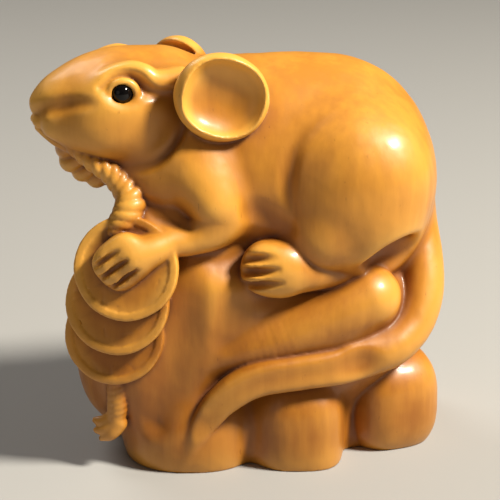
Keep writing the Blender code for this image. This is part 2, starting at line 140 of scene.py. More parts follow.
def egg(centre, radii, turn=(0, 0, 0), fullness=2.0):
    """An ellipsoid, turned by degrees about X, Y and Z. A fullness over 2 squares it up."""
    axes = Euler([math.radians(angle) for angle in turn]).to_matrix().transposed()

    def distance(x, y, z):
        x, y, z = x - centre[0], y - centre[1], z - centre[2]
        local = [np.abs(row[0] * x + row[1] * y + row[2] * z) for row in axes]
        if fullness == 2.0:
            near = np.sqrt(sum((part / radius) ** 2 for part, radius in zip(local, radii)))
            slopes = [part / radius**2 for part, radius in zip(local, radii)]
        else:
            near = sum((part / radius) ** fullness for part, radius in zip(local, radii)) ** (1 / fullness)
            slopes = [(part / radius) ** (fullness - 1) / radius for part, radius in zip(local, radii)]
        near = np.maximum(near, 1e-3)
        steep = np.sqrt(sum(slope**2 for slope in slopes)) * near ** (1 - fullness)
        return (near - 1) / np.maximum(steep, 1e-6)

    reach = max(radii)
    return Form(distance, [c - reach for c in centre], [c + reach for c in centre])


def smooth_path(stations, steps):
    """Points on a smooth curve through the stations, steps to each span. A station may carry a radius."""
    rows = [np.array(row, float) for row in stations]
    rows = [2 * rows[0] - rows[1], *rows, 2 * rows[-1] - rows[-2]]
    path = []
    for a, b, c, d in zip(rows, rows[1:], rows[2:], rows[3:]):
        for step in range(steps):
            t = step / steps
            square = (2 * a - 5 * b + 4 * c - d) * t**2
            cube = (3 * b - a - 3 * c + d) * t**3
            path.append(0.5 * (2 * b + (c - a) * t + square + cube))
    return [*path, rows[-2]]


def strip(path):
    """A round limb along a path of (x, y, z, radius). Each span is measured only near itself."""

    def distance(x, y, z):
        nearest = np.full(np.broadcast_shapes(x.shape, y.shape, z.shape), FAR, np.float32)
        lines = [x.ravel(), y.ravel(), z.ravel()]
        for a, b in zip(path, path[1:]):
            reach = max(a[3], b[3]) + LIMB_REACH
            within = tuple(
                slice(*np.searchsorted(line, (min(a[i], b[i]) - reach, max(a[i], b[i]) + reach)))
                for i, line in enumerate(lines)
            )
            px = x[within[0], :, :] - a[0]
            py = y[:, within[1], :] - a[1]
            pz = z[:, :, within[2]] - a[2]
            along = b[:3] - a[:3]
            length = max(float(along @ along), 1e-9)
            t = np.clip((px * along[0] + py * along[1] + pz * along[2]) / length, 0, 1)
            off = np.sqrt((px - t * along[0]) ** 2 + (py - t * along[1]) ** 2 + (pz - t * along[2]) ** 2)
            nearest[within] = np.minimum(nearest[within], off - (a[3] + t * (b[3] - a[3])))
        return nearest

    points = np.array(path)
    reach = points[:, 3:4]
    return Form(distance, (points[:, :3] - reach).min(0), (points[:, :3] + reach).max(0))


def limb(stations, steps=8):
    """A round limb on a smooth curve through stations of (x, y, z, radius)."""
    return strip(smooth_path(stations, steps))


class Block:
    """The block of wood: a grid of distances to the surface of what has been carved so far."""

    def __init__(self, chisel):
        self.chisel = chisel
        self.axes = [np.arange(a, b, chisel, dtype=np.float32) for a, b in zip(BLOCK_LOW, BLOCK_HIGH)]
        self.field = np.full([len(axis) for axis in self.axes], FAR, np.float32)

    def window(self, form, margin):
        slices = tuple(
            slice(*np.searchsorted(axis, (low - margin, high + margin)))
            for axis, low, high in zip(self.axes, form.low, form.high)
        )
        place = [axis[within] for axis, within in zip(self.axes, slices)]
        return slices, np.meshgrid(*place, indexing="ij", sparse=True)

    def add(self, form, blend=0.3):
        slices, place = self.window(form, blend + ADD_MARGIN)
        self.field[slices] = soft_min(self.field[slices], form.distance(*place), blend)

    def cut(self, form, blend=0.2):
        slices, place = self.window(form, blend + CUT_MARGIN)
        self.field[slices] = -soft_min(-self.field[slices], form.distance(*place), blend)


sack = Block(CHISEL)
sack.add(egg((-6.0, 0.3, 14.5), (11.2, 11.0, 11.5)))
sack.add(egg((6.5, 0.8, 14.0), (12.0, 10.6, 10.5)), 4.0)
sack.add(egg((-3.5, -2.0, 19.0), (8.0, 8.6, 8.0)), 3.0)
sack.add(limb([(-11.2, -4.8, 24.4, 3.2), (-12.4, -5.0, 19.0, 4.4), (-12.8, -4.6, 13.0, 4.6)]), 2.5)
sack.add(egg((2.0, 1.5, 3.0), (13.0, 7.0, 8.0), fullness=3.0), 2.0)
for middle, radii, blend in (
    ((-9.0, -1.5, 11.0), (9.5, 9.2, 9.6), 1.5),
    ((-6.2, -2.6, 3.0), (7.6, 8.9, 7.0), 1.6),
    ((4.6, -4.7, 3.4), (5.3, 6.2, 7.2), 1.6),
    ((13.6, 7.6, 4.0), (5.6, 5.2, 7.0), 0.6),
    ((4.0, 8.8, 4.0), (5.6, 4.9, 7.0), 0.6),
    ((-6.0, 8.4, 4.0), (5.6, 4.9, 7.0), 0.6),
    ((-12.2, 3.4, 4.0), (4.4, 5.6, 6.5), 0.8),
):
    sack.add(egg(middle, radii, fullness=2.4), blend)
sack.add(egg((5.5, -4.6, 3.0), (4.3, 6.1, 6.4), fullness=3.2), 0.8)
sack.add(egg((14.3, 0.3, 4.4), (5.3, 6.4, 6.2), (0, 0, 24), 2.7), 0.25)
sack.add(egg((12.8, 2.4, 15.2), (7.4, 7.5, 5.2)), 2.0)
fold = (
    (-4.6, -9.0, 11.6, 1.2),
    (-0.4, -8.6, 13.0, 2.3),
    (4.9, -7.8, 14.7, 3.1),
    (9.3, -7.1, 16.5, 3.4),
    (12.2, -6.5, 17.8, 3.4),
)
sack.add(limb(fold), 0.9)
under_foot = (
    (0.5, -11.2, 18.8, 0.4),
    (2.8, -10.4, 19.2, 0.9),
    (5.5, -9.8, 20.2, 1.0),
    (8.5, -9.6, 21.2, 0.8),
)
valley = (
    (-6.9, -12.6, 22.4, 1.4),
    (-6.9, -13.0, 18.0, 2.1),
    (-7.4, -13.0, 13.0, 2.1),
    (-8.6, -12.4, 9.0, 1.6),
    (-10.0, -11.2, 5.6, 0.8),
)
dent = ((-1.4, -12.4, 21.0, 0.9), (-1.6, -12.6, 18.0, 1.6), (-2.4, -12.2, 15.0, 1.0))
sack.cut(limb(under_foot), 1.6)
sack.cut(egg((-0.5, -11.6, 23.6), (4.6, 3.2, 2.4)), 2.0)
sack.cut(limb(valley), 2.2)
sack.cut(limb(dent), 2.0)


# The coins: a string of three pierced coins that lie on a swelling of the sack, each over the next one
# down. Each is a flat disc, cut from the same wood, with a fine raised rim and a few light tool strokes.
COIN_FACING = Vector((-0.14, -0.96, 0.22)).normalized()
COIN_UP = (Vector((0, 0, 1)) - COIN_FACING * COIN_FACING.z).normalized()
COIN_ACROSS = COIN_UP.cross(COIN_FACING)
COIN_THICKNESS = 1.3
COIN_RIM = 0.85
COIN_RELIEF = 0.15
COIN_EDGE = 0.15
STROKE_RADIUS = 0.2


def disc(centre, radius, thickness, rounding):
    """A flat round disc that faces the way of the coins, its edges rounded."""
    half = thickness / 2 - rounding

    def distance(x, y, z):
        x, y, z = x - centre[0], y - centre[1], z - centre[2]
        height = COIN_FACING.x * x + COIN_FACING.y * y + COIN_FACING.z * z
        out = np.sqrt(np.maximum(x * x + y * y + z * z - height * height, 0)) - (radius - rounding)
        up = np.abs(height) - half
        outside = np.sqrt(np.maximum(out, 0) ** 2 + np.maximum(up, 0) ** 2)
        return outside + np.minimum(np.maximum(out, up), 0) - rounding

    return Form(distance, [c - radius for c in centre], [c + radius for c in centre])


def stroke(face, start, end):
    """A fine straight cut in a coin's face, between two places on it, each (across, up)."""
    ends = [face + COIN_ACROSS * across + COIN_UP * up for across, up in (start, end)]
    return strip([np.array((*point, STROKE_RADIUS)) for point in ends])


sack.add(limb([(-11.6, -7.4, 25.2, 2.6), (-8.0, -6.8, 26.4, 3.2), (-4.0, -6.0, 25.0, 3.0)]), 1.5)
sack.add(egg((-12.8, -7.0, 18.4), (5.2, 3.1, 7.4), (0, 6, 0)), 1.5)
coins = (
    (
        (-13.8, -9.4, 14.8),
        5.15,
        (((-2.2, -3.0), (-1.6, -3.7)), ((-0.4, -3.1), (-0.3, -4.0)), ((1.5, -2.9), (2.1, -3.4))),
    ),
    (
        (-13.4, -10.2, 18.5),
        5.3,
        (((-1.3, -2.6), (-1.1, -3.4)), ((0.4, -3.3), (1.6, -3.1)), ((2.2, -2.7), (3.0, -2.0))),
    ),
    (
        (-12.4, -10.9, 22.4),
        5.3,
        (((-2.2, -2.4), (-2.3, -3.6)), ((-2.3, -3.6), (-0.6, -3.9)), ((3.4, -0.9), (3.2, -2.0))),
    ),
)
for centre, radius, strokes in coins:
    blank = disc(centre, radius, COIN_THICKNESS, COIN_EDGE)
    face = Vector(centre) + COIN_FACING * (COIN_THICKNESS / 2)
    sunk_face = disc(face, radius - COIN_RIM, 2 * COIN_RELIEF, 0.02)
    sack.add(blank.without(sunk_face, 0.12), 0.1)
    for start, end in strokes:
        sack.cut(stroke(face, start, end), 0.04)


# The rat's trunk and haunches: one smooth swelling mass of the same boxwood over the sack. A crease runs
# down the front of each haunch, and its underside is cut in sharply over the long hind foot, which has
# four short toes.
BODY_MIDDLE = 1.0


def mirrored(rows, side):
    """Stations of the near side, or the same ones across the body for the far side."""
    return [(row[0], row[1] if side < 0 else 2 * BODY_MIDDLE - row[1], *row[2:]) for row in rows]


rat = Block(CHISEL)
rat.add(egg((8.8, BODY_MIDDLE, 28.2), (10.7, 10.2, 13.2)))
rat.add(egg((-1.0, 0.8, 29.4), (11.0, 9.9, 11.6)), 3.0)
rat.add(egg((3.6, 0.8, 30.6), (11.0, 9.5, 10.9)), 2.5)
rat.add(limb([(-3.0, 0.0, 33.2, 8.0), (-8.0, -1.2, 35.2, 6.8), (-11.0, -2.2, 36.6, 5.4)]), 2.0)
rat.add(egg((-7.6, -2.4, 30.4), (5.4, 6.2, 7.4), (0, -20, 0)), 2.0)
rat.add(limb([(-9.0, -3.8, 33.0, 4.8), (-12.2, -5.2, 31.6, 3.0), (-14.6, -5.2, 32.8, 2.2)]), 1.6)
rat.add(limb([(-7.0, -4.6, 30.6, 4.8), (-9.4, -5.8, 29.6, 3.4)]), 1.6)
rat.add(egg((-7.6, -6.0, 30.8), (3.6, 3.8, 4.3), (0, 35, 0)), 1.4)
crease = (
    (8.4, -7.6, 38.6, 0.1),
    (6.2, -8.6, 37.0, 0.3),
    (4.6, -9.2, 35.0, 0.45),
    (3.9, -9.7, 33.0, 0.5),
    (3.6, -10.2, 30.6, 0.5),
    (4.0, -10.8, 28.0, 0.3),
)
undercut = (
    (3.4, -10.7, 25.2, 0.3),
    (5.2, -11.1, 22.7, 0.4),
    (7.2, -11.1, 21.0, 0.5),
    (9.6, -10.6, 20.5, 0.6),
    (11.6, -9.8, 21.2, 0.9),
    (13.4, -8.6, 22.5, 1.2),
    (14.8, -7.2, 23.9, 1.1),
    (15.8, -5.6, 25.0, 0.6),
)
foot = (
    (10.4, -7.4, 20.8, 0.8),
    (8.0, -8.2, 21.0, 1.5),
    (5.6, -8.9, 21.4, 2.1),
    (3.2, -9.1, 21.9, 2.6),
    (1.8, -9.1, 22.1, 2.4),
)
toe_grooves = (
    ((2.8, -12.0, 24.0, 0.3), (1.4, -11.6, 23.7, 0.5), (-0.9, -10.4, 23.2, 0.5)),
    ((2.8, -12.1, 22.6, 0.3), (1.4, -11.7, 22.3, 0.5), (-1.0, -10.4, 21.9, 0.5)),
    ((3.1, -12.0, 21.1, 0.3), (1.6, -11.6, 20.9, 0.5), (-0.6, -10.4, 20.5, 0.5)),
)
for side in (-1, 1):
    rat.add(egg((10.8, BODY_MIDDLE + side * 5.7, 29.1), (7.7, 7.2, 8.8), (0, 14, 0), 2.25), 2.6)
    rat.add(egg((7.2, BODY_MIDDLE + side * 9.2, 24.8), (3.2, 3.2, 3.3)), 1.6)
    rat.cut(limb(mirrored(crease, side)), 1.1)
    rat.cut(limb(mirrored(undercut, side)), 1.0)
    rat.add(limb(mirrored(foot, side)), 0.3)
    rat.add(egg((2.3, BODY_MIDDLE + side * 11.0, 22.0), (3.0, 1.6, 2.75), (0, 10, 0), 2.4), 1.4)
    for groove in toe_grooves:
        rat.cut(limb(mirrored(groove, side)), 0.3)


# The arms: the near one drops from a broad shoulder to a narrow wrist and lays its four fingers on the
# coins. The far one closes its fist round the cord under the chin. Both are carved on the trunk.
arm = (
    (-5.6, -5.0, 34.6, 4.2),
    (-4.4, -6.4, 31.2, 4.2),
    (-3.2, -7.6, 28.6, 3.5),
    (-2.9, -8.2, 27.0, 2.8),
    (-4.2, -9.1, 25.8, 2.1),
    (-6.2, -9.7, 25.1, 1.7),
    (-8.0, -10.3, 24.9, 1.6),
    (-10.0, -11.1, 24.3, 1.8),
    (-11.6, -11.4, 23.8, 2.1),
)
armpit = ((-0.7, -11.0, 31.0, 0.3), (0.2, -11.0, 29.6, 1.0), (1.1, -10.7, 27.6, 1.7), (3.2, -11.0, 26.4, 1.4))
pocket = (
    (-10.4, -9.7, 29.0, 0.3),
    (-9.4, -10.2, 28.2, 0.8),
    (-8.0, -10.6, 27.5, 0.7),
    (-6.2, -11.0, 26.8, 0.3),
)
rat.add(limb(arm), 0.9)
rat.add(limb([(-7.0, -7.4, 33.4, 1.6), (-5.4, -8.8, 31.0, 1.8), (-4.0, -9.4, 28.8, 1.8)]), 2.0)
rat.add(egg((-8.6, -8.5, 25.9), (3.6, 2.2, 2.6), (0, 12, 0)), 0.8)
rat.cut(limb(armpit), 0.6)
rat.cut(limb(pocket), 0.6)
rat.add(egg((-12.7, -11.7, 23.4), (2.9, 1.4, 2.6), (0, -40, 0), 2.8), 0.5)
for groove in (
    ((-12.9, -13.2, 25.1, 0.2), (-13.8, -12.9, 24.4, 0.32), (-16.2, -12.2, 22.5, 0.32)),
    ((-12.2, -13.3, 24.0, 0.2), (-13.1, -13.0, 23.3, 0.32), (-15.6, -12.3, 21.3, 0.32)),
    ((-11.2, -13.2, 23.0, 0.2), (-12.1, -12.9, 22.3, 0.32), (-14.6, -12.2, 20.3, 0.32)),
):
    rat.cut(limb(groove), 0.12)
rat.add(limb([(-8.0, 3.0, 29.5, 3.2), (-12.5, 0.6, 30.2, 2.4), (-15.2, -2.2, 31.4, 2.0)]), 0.9)
for finger in (
    ((-15.8, -3.0, 33.2, 0.9), (-18.6, -4.2, 33.2, 0.9), (-18.7, -5.4, 33.2, 0.85), (-17.8, -6.6, 33.8, 0.7)),
    ((-15.4, -3.0, 32.2, 0.9), (-18.3, -4.2, 32.1, 0.9), (-18.2, -5.4, 31.8, 0.9), (-16.9, -6.6, 32.7, 0.7)),
    ((-14.8, -3.0, 31.2, 0.9), (-17.1, -4.2, 31.0, 0.9), (-17.0, -5.4, 30.8, 0.9), (-15.7, -6.6, 31.7, 0.7)),
    ((-14.0, -3.0, 30.4, 0.9), (-15.8, -4.2, 30.4, 0.9), (-15.6, -5.6, 30.2, 0.9), (-14.5, -6.8, 30.9, 0.7)),
):
    rat.add(limb(finger), 0.3)


# The head: a deep wedge turned a little towards the near side, with a blunt nose, full cheeks and a fold
# of skin that arches over each eye. It is carved on the trunk, and a round socket is cut for each eye.
HEAD_CENTRE = Vector((-12.0, -3.0, 38.0))
HEAD_TURN = 15.0
EYE_FORWARD = 2.0
EYE_OUT = 5.0
EYE_UP = 1.8
EYE_RADIUS = 1.1
SOCKET_GAP = 0.03
LID_WIDTH = 2.7
LID_HEIGHT = 2.4


def on_head(forward, side, up):
    """A point by its place on the head: forward to the nose, to the side (near side positive), and up."""
    turn = math.radians(HEAD_TURN)
    ahead = Vector((-math.cos(turn), -math.sin(turn), 0))
    near = Vector((math.sin(turn), -math.cos(turn), 0))
    return HEAD_CENTRE + forward * ahead + side * near + Vector((0, 0, up))


def eye_middle(side, sunk=0.0):
    """The middle of an eye bead, or a point that lies sunk behind it in the head."""
    return on_head(EYE_FORWARD, side * (EYE_OUT - sunk), EYE_UP)


def head_limb(*rows):
    """A round limb through stations that are given by their place on the head."""
    return limb([(*on_head(*row[:3]), row[3]) for row in rows])


skull = head_limb(
    (-2.5, 0, -0.1, 5.4),
    (0.8, 0, -0.2, 5.6),
    (3.0, 0, -0.2, 5.2),
    (5.0, 0, -0.2, 4.4),
    (7.0, 0, -0.1, 3.2),
    (8.7, 0, 0.0, 1.8),
)
rat.add(skull, 1.5)
rat.add(head_limb((2.0, 0, -2.0, 3.6), (5.6, 0, -2.2, 2.3), (7.6, 0, -2.4, 1.4)), 0.6)
lower_lip = (
    (-21.3, -5.7, 35.7, 0.45),
    (-20.4, -6.1, 35.0, 0.5),
    (-19.4, -6.5, 34.4, 0.55),
    (-18.0, -6.9, 34.0, 0.7),
)
rat.add(limb([(-20.4, -5.3, 35.3, 0.8), (-19.2, -5.7, 34.9, 0.9), (-17.8, -6.0, 34.4, 1.0)]), 0.3)
for side in (-1, 1):
    rat.add(egg(on_head(6.6, side * 1.6, -1.7), (3.0, 2.0, 1.8), (0, 0, HEAD_TURN), 2.5), 0.8)
    rat.add(egg(on_head(4.8, side * 2.5, -2.0), (3.2, 2.2, 2.2), (0, 0, HEAD_TURN), 2.4), 1.2)
    rat.add(egg(on_head(9.3, side * 0.7, -1.5), (1.1, 1.0, 0.9), (0, 0, HEAD_TURN)), 0.2)
    rat.add(egg(on_head(1.8, side * 2.6, -0.9), (5.0, 3.7, 4.3), (0, 0, HEAD_TURN), 2.5), 1.5)
    jowl = head_limb(
        (-3.3, side * 6.1, 1.4, 0.2),
        (-3.6, side * 6.5, 0.0, 0.4),
        (-3.5, side * 6.8, -1.8, 0.4),
        (-2.4, side * 7.0, -3.6, 0.4),
        (-0.7, side * 6.7, -5.1, 0.4),
        (1.6, side * 5.8, -5.8, 0.4),
        (3.8, side * 4.4, -5.7, 0.3),
    )
    rat.cut(jowl, 0.8)
    brow = head_limb(
        (4.6, side * 3.8, 1.6, 0.3),
        (3.3, side * 4.1, 3.0, 0.7),
        (2.2, side * 4.2, 3.5, 0.9),
        (0.9, side * 4.3, 3.8, 1.0),
        (-0.2, side * 4.8, 3.6, 1.0),
        (-1.1, side * 5.0, 3.0, 1.0),
        (-2.2, side * 5.0, 2.8, 1.1),
        (-4.0, side * 4.9, 2.8, 1.3),
    )
    rat.add(brow, 1.2)
    eye_hollow = head_limb(
        (3.2, side * 6.0, 2.2, 0.5),
        (2.0, side * 6.2, 2.3, 1.2),
        (0.8, side * 6.1, 2.4, 0.8),
    )
    rat.cut(eye_hollow, 1.2)
    arch = head_limb(
        (4.2, side * 5.2, 2.6, 0.2),
        (3.5, side * 5.3, 3.1, 0.4),
        (2.7, side * 5.4, 3.5, 0.6),
        (1.7, side * 5.5, 3.6, 0.6),
        (0.7, side * 5.8, 3.2, 0.6),
        (0.0, side * 6.0, 2.4, 0.6),
        (-1.2, side * 6.2, 1.7, 0.55),
        (-3.2, side * 6.3, 1.6, 0.5),
    )
    rat.cut(arch, 0.6)
    smile = head_limb(
        (10.5, side * 1.1, -0.7, 0.35),
        (9.7, side * 2.4, 0.0, 0.45),
        (8.8, side * 3.2, 0.4, 0.5),
        (7.5, side * 4.1, 0.8, 0.5),
        (6.2, side * 5.2, 1.1, 0.4),
        (5.0, side * 6.2, 1.2, 0.2),
    )
    rat.cut(smile, 0.9)
    rat.add(egg(eye_middle(side, 0.6), (1.6, 1.2, 1.5), (0, 0, HEAD_TURN)), 0.3)
    lids = []
    for step in range(13):
        turn = math.pi * step / 6
        ahead = EYE_FORWARD + LID_WIDTH / 2 * math.cos(turn)
        out = EYE_OUT + 0.3 - 0.15 * math.cos(turn)
        up = EYE_UP + LID_HEIGHT / 2 * math.sin(turn)
        lids.append((ahead, side * out, up, 0.32 - 0.14 * math.cos(turn + 0.8)))
    rat.add(head_limb(*lids), 0.3)
    rat.cut(egg(eye_middle(side), (EYE_RADIUS + SOCKET_GAP,) * 3), 0.05)
rat.add(limb(lower_lip), 0.08)


# The ears: two round ears that stand out from the neck. They are carved in the same wood and hollowed like
# spoons, down to a thin rim.
def ear(middle, radii, turn, opening, inner):
    """A lens of wood with a second, fuller lens taken out of its face."""
    return egg(middle, radii, turn).without(egg(opening, inner, turn, 2.5), 0.2)


near_ear = ear((-2.8, -9.0, 39.5), (4.8, 2.4, 4.45), (0, 20, 8), (-2.2, -11.7, 39.7), (4.35, 3.3, 4.05))
far_ear = ear((-7.4, 4.0, 38.9), (4.2, 2.4, 4.1), (0, 0, -42), (-8.6, 2.3, 39.1), (3.8, 2.6, 3.7))
rat.add(near_ear, 0.4)
rat.add(far_ear, 0.4)


# The tail: it grows out of the rump, bends round the corner of the sack and tapers away along its front.
# It is cut in the same wood. Along the front its face is pared flat, like a ribbon.
FLAT_RADIUS = 4.0
FLAT_DEPTH = 0.5
tail = (
    (14.0, 1.4, 28.8, 4.2),
    (16.1, 1.5, 25.6, 3.3),
    (17.5, -0.5, 22.0, 2.6),
    (18.1, -2.4, 19.0, 2.3),
    (17.9, -3.9, 16.4, 2.2),
    (16.7, -5.3, 14.1, 2.2),
    (14.7, -6.9, 12.6, 2.2),
    (12.2, -7.8, 11.9, 2.2),
    (9.3, -9.1, 11.4, 2.1),
    (5.1, -10.0, 11.0, 2.0),
    (0.6, -10.6, 10.3, 1.9),
    (-2.6, -10.8, 8.3, 1.7),
    (-4.6, -10.8, 5.8, 1.4),
    (-6.0, -10.7, 3.1, 1.05),
    (-6.9, -10.5, 0.8, 0.7),
)
root = (
    (12.6, -0.6, 28.0, 3.2),
    (14.6, -1.0, 24.6, 2.4),
    (15.4, -0.9, 21.2, 2.0),
    (15.6, -1.4, 18.2, 1.9),
    (15.0, -3.6, 15.4, 1.8),
    (13.2, -6.6, 13.6, 1.5),
    (10.4, -8.6, 12.6, 1.2),
)
rat.add(limb(tail), 0.8)
rat.add(limb(root), 1.2)
rat.cut(egg((15.2, -8.4, 22.3), (3.4, 3.2, 2.8)), 1.2)
flat = [(x, y - radius + FLAT_DEPTH - FLAT_RADIUS, z, FLAT_RADIUS) for x, y, z, radius in tail[7:13]]
rat.cut(limb(flat), 0.6)


# The cord: three twisted strands that the rat holds in its mouth and far paw, down the chest to the
# coins, and out below them to a frayed end. All of it is cut in the wood.
STRAND_OFFSET = 0.52
STRAND_RADIUS = 0.56


def twisted(stations, turns):
    """Three round strands twisted about a smooth curve."""
    path = smooth_path(stations, 12)
    strands = []
    for strand in range(3):
        winding = []
        for step, point in enumerate(path):
            after = path[min(step + 1, len(path) - 1)]
            before = path[max(step - 1, 0)]
            ahead = Vector((after - before)[:3]).normalized()
            across = ahead.cross(Vector((0, -1, 0))).normalized()
            out = across.cross(ahead)
            angle = 2 * math.pi * (turns * step / (len(path) - 1) + strand / 3)
            away = (across * math.cos(angle) + out * math.sin(angle)) * point[3] * STRAND_OFFSET
            winding.append(np.array((*(Vector(point[:3]) + away), point[3] * STRAND_RADIUS)))
        strands.append(strip(winding))

    def distance(x, y, z):
        return np.minimum.reduce([strand.distance(x, y, z) for strand in strands])

    low = np.min([strand.low for strand in strands], 0)
    high = np.max([strand.high for strand in strands], 0)
    return Form(distance, low, high)


block = Block(CHISEL)
block.field = soft_min(sack.field, rat.field, 0.25)
upper_cord = (
    (-18.2, -7.0, 34.3, 0.65),
    (-16.8, -7.5, 33.3, 0.85),
    (-15.4, -7.8, 32.4, 1.0),
    (-14.0, -7.8, 31.5, 1.15),
    (-12.9, -7.9, 30.3, 1.3),
    (-12.0, -8.5, 29.1, 1.45),
    (-12.1, -9.2, 28.0, 1.5),
    (-12.8, -9.7, 26.9, 1.3),
    (-13.5, -10.0, 25.8, 0.95),
)
lower_cord = (
    (-13.7, -9.4, 10.4, 0.95),
    (-13.7, -9.4, 8.6, 1.05),
    (-13.7, -9.4, 6.8, 1.05),
    (-14.0, -9.3, 5.2, 0.9),
)
block.add(twisted(upper_cord, -4.2), 0.1)
block.add(twisted(lower_cord, -2.8), 0.08)
for tuft in (
    ((-13.9, -9.2, 5.6, 1.0), (-15.2, -9.1, 5.0, 0.7), (-16.1, -8.9, 5.1, 0.35)),
    ((-13.8, -9.4, 5.2, 1.0), (-15.0, -9.4, 4.3, 0.7), (-16.0, -9.2, 4.1, 0.35)),
    ((-13.6, -9.5, 5.0, 0.9), (-14.4, -9.7, 3.9, 0.7), (-15.4, -9.5, 3.3, 0.35)),
):
    block.add(limb(tuft), 0.1)


# The cord tunnel: a bent hole under the base, for the cord that a netsuke hangs from. Its two mouths are
# drilled straight up and meet in an arch.
TUNNEL_PLACE = (-6.0, 4.0)
TUNNEL_RADIUS = 1.5
TUNNEL_BEND = 4.5
TUNNEL_SPRING = 1.0
TUNNEL_START = -3.0
tunnel = [(-TUNNEL_BEND, TUNNEL_START)]
for step in range(13):
    turn = math.pi * step / 12
    tunnel.append((-TUNNEL_BEND * math.cos(turn), TUNNEL_SPRING + TUNNEL_BEND * math.sin(turn)))
tunnel.append((TUNNEL_BEND, TUNNEL_START))
bore = [np.array((TUNNEL_PLACE[0] + across, TUNNEL_PLACE[1], up, TUNNEL_RADIUS)) for across, up in tunnel]
block.cut(strip(bore), 0.3)


# The finished carving: the flat underside is sawn, the surface is taken off the block as one mesh, and
# the wood is polished. Its colour holds painted shade: the narrow hollows darken, partly for the stain that
# they keep and partly as painted shade, and the broad hollows and the parts low down near the base are
# darkened as painted shade. The crests that hands rub bright are paler.
MOST_TRIANGLES = 190000
# The wood's colours, palest first: the rubbed crests, the wood's own honey tone, the painted shade of the
# broad hollows and low parts, and the darkest one, which is the stain of flecks and grooves and the painted
# shade deep in the grooves.
RUBBED = (0.80, 0.41, 0.068)
HONEY = (0.60, 0.25, 0.026)
AMBER = (0.31, 0.100, 0.006)
STAIN_AND_SHADE = (0.12, 0.028, 0.003)
# The knife leaves the skin slightly uneven, except round the eye sockets and at the sawn base.
WAVES = ((0.33, 0.05), (1.1, 0.02))
SOCKET_MARGIN = 0.3
BASE_MARGIN = 0.2
BASE_FADE = 0.8
FINE_REACH = 2
BROAD_REACH = 4

block.field = np.maximum(block.field, -block.axes[2][None, None, :])


def blurred(solid, reach):
    """Each cell as the mean of the cells within reach of it, three times over."""
    for _ in range(3):
        for axis in range(3):
            padded = np.concatenate([np.zeros_like(solid.take([0], axis)), solid.cumsum(axis)], axis)
            count = padded.shape[axis]
            upper = np.clip(np.arange(count - 1) + reach + 1, 0, count - 1)
            lower = np.clip(np.arange(count - 1) - reach, 0, count - 1)
            solid = (padded.take(upper, axis) - padded.take(lower, axis)) / (2 * reach + 1)
    return solid


def sampled(cells, points, cell):
    """The cells' values at points in millimetres, read between the cells."""
    place = (points - np.array(BLOCK_LOW)) / cell
    base = np.clip(np.floor(place).astype(int), 0, np.array(cells.shape) - 2)
    part = np.clip(place - base, 0, 1)
    found = 0
    for corner in range(8):
        step = np.array([corner >> 2 & 1, corner >> 1 & 1, corner & 1])
        weight = np.prod(np.where(step, part, 1 - part), axis=1)
        index = base + step
        found = found + weight * cells[index[:, 0], index[:, 1], index[:, 2]]
    return found


grid = openvdb.FloatGrid(FAR)
grid.copyFromArray(block.field)
points, quads = grid.convertToQuads(isovalue=0.0)
points = (points * CHISEL + np.array(BLOCK_LOW)) / 1000
skin = bpy.data.meshes.new("carving_skin")
skin.from_pydata(points.tolist(), [], quads.tolist())
# Only the outer skin is kept, from the topmost point on.
shape = bmesh.new()
shape.from_mesh(skin)
outer = set()
reached = [max(shape.verts, key=lambda vert: vert.co.z)]
while reached:
    vert = reached.pop()
    if vert not in outer:
        outer.add(vert)
        reached.extend(edge.other_vert(vert) for edge in vert.link_edges)
bmesh.ops.delete(shape, geom=[vert for vert in shape.verts if vert not in outer])
shape.to_mesh(skin)
shape.free()
rough_piece = bpy.data.objects.new("rough_piece", skin)
scene.collection.objects.link(rough_piece)
if 2 * len(skin.polygons) > MOST_TRIANGLES:
    thinned = rough_piece.modifiers.new("thinned", "DECIMATE")
    thinned.ratio = MOST_TRIANGLES / (2 * len(skin.polygons))
thinned_piece = rough_piece.evaluated_get(bpy.context.evaluated_depsgraph_get())
carving_mesh = bpy.data.meshes.new_from_object(thinned_piece)
bpy.data.objects.remove(rough_piece)
carving_mesh.name = "boxwood_carving"
carving_mesh.shade_smooth()

corners = np.empty(len(carving_mesh.vertices) * 3)
carving_mesh.vertices.foreach_get("co", corners)
corners = corners.reshape(-1, 3) * 1000
facing = np.empty(len(carving_mesh.vertices) * 3)
carving_mesh.vertices.foreach_get("normal", facing)
facing = facing.reshape(-1, 3)
swell = np.zeros(len(corners))
for pitch, rise in WAVES:
    swell += [rise * noise.noise(pitch * Vector(corner)) for corner in corners]
for side in (-1, 1):
    from_eye = np.linalg.norm(corners - np.array(eye_middle(side)), axis=1)
    swell *= np.clip(from_eye - EYE_RADIUS - SOCKET_MARGIN, 0, 1)
swell *= np.clip((corners[:, 2] - BASE_MARGIN) / BASE_FADE, 0, 1)
carving_mesh.vertices.foreach_set("co", ((corners + facing * swell[:, None]) / 1000).ravel())
# How far each point lies in a hollow, finely and broadly. The material paints shade from these measures.
solid = np.clip(0.5 - block.field / CHISEL, 0, 1)
for name, cells, cell, reach in (
    ("fine_hollow", solid, CHISEL, FINE_REACH),
    ("broad_hollow", solid[::2, ::2, ::2], 2 * CHISEL, BROAD_REACH),
):
    values = sampled(blurred(cells, reach), corners, cell)
    attribute = carving_mesh.attributes.new(name, "FLOAT", "POINT")
    attribute.data.foreach_set("value", values.astype(np.float32))


